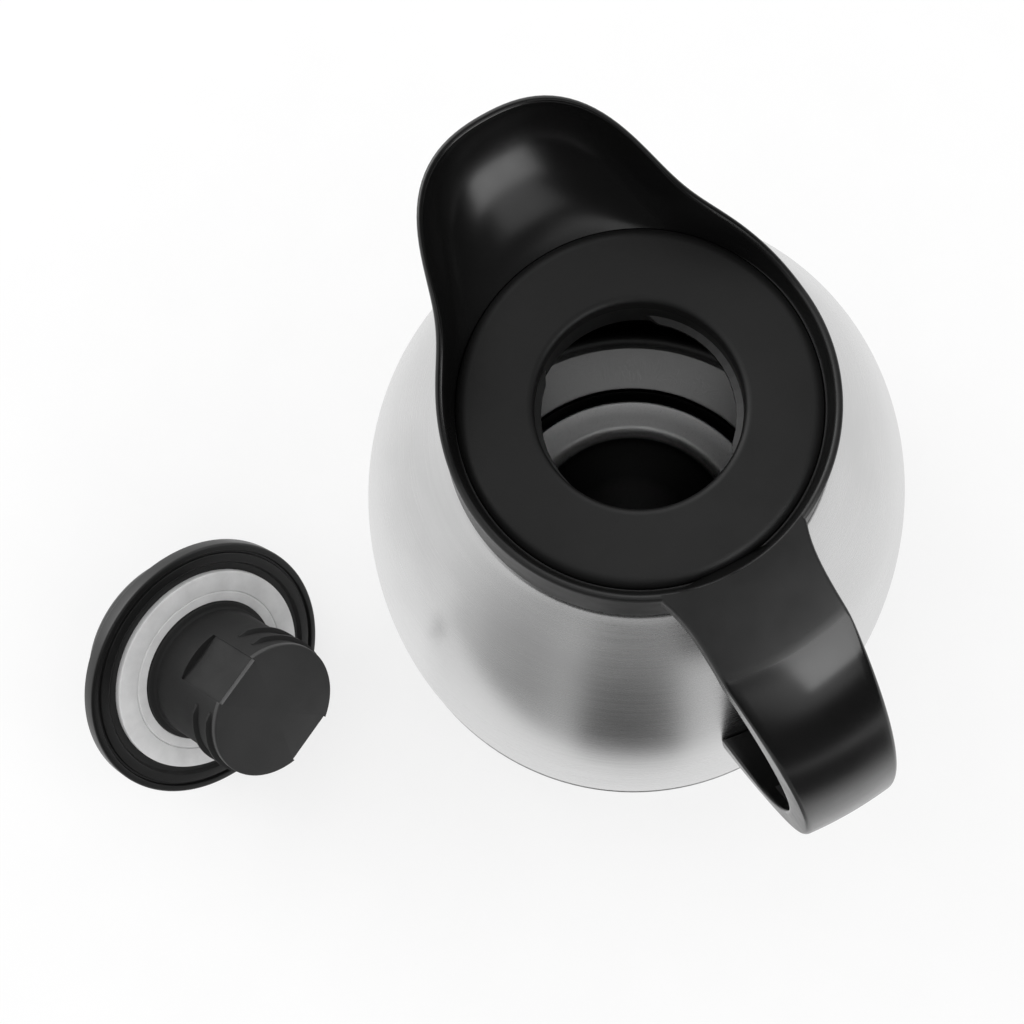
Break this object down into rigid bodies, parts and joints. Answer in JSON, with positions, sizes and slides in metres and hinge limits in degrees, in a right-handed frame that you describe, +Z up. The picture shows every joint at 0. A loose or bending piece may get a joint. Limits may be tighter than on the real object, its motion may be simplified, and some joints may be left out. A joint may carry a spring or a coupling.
{
  "type": "thermal carafe",
  "caption": "Satin steel vacuum jug with a broad black pouring spout and a strap handle, its screw stopper lying beside it with the plug and the silicone seal in view.",
  "frame": {"origin": "middle of the base's underside, on the table", "axes": "+Z up along the jug's axis, +X towards the handle, -X towards the spout"},
  "size_m": [0.1741, 0.2468, 0.23],
  "materials": {
    "steel_satin": "satin",
    "steel_inside": "satin",
    "steel_screw": "satin",
    "collar_black": "gloss",
    "seat_black": "fine grain, matte",
    "handle_black": "satin, fine grain on the flat top",
    "liner_black": "matte",
    "stopper_black": "gloss",
    "end_black": "matte",
    "seal_silicone": "satin",
    "seal_black": "matte",
    "pad_black": "matte",
    "foil": "bright",
    "getter_grey": "matte",
    "foam_white": "matte"
  },
  "bodies": {
    "carafe": {"base_pad": "pad_black", "base_plate": "steel_satin", "vacuum_port_seal": "seal_black", "jacket_bottom": "steel_inside", "getter": "getter_grey", "outer_shell": "steel_satin", "foil_wrap": "foil", "vessel_floor": "steel_inside", "inner_vessel": "steel_inside", "neck_gasket": "seal_silicone", "thread_ring": "stopper_black", "shoulder_seal": "seal_black", "collar": "collar_black", "seat": "seat_black", "handle": "handle_black", "handle_liner": "liner_black", "heel_bracket": "steel_screw", "heel_screw": "steel_screw"},
    "stopper": {"stopper_flange": "stopper_black", "stopper_seal": "seal_silicone", "stopper_plug": "stopper_black", "plug_foam": "foam_white", "plug_end": "end_black", "stopper_knob": "stopper_black", "knob_screw": "steel_screw", "knob_washer": "steel_screw"}
  },
  "joints": [
    {"name": "stopper_lift", "type": "slide", "parent": "carafe", "child": "stopper", "axis": [0, 0, 1], "range_m": [0, 0.25]}
  ]
}
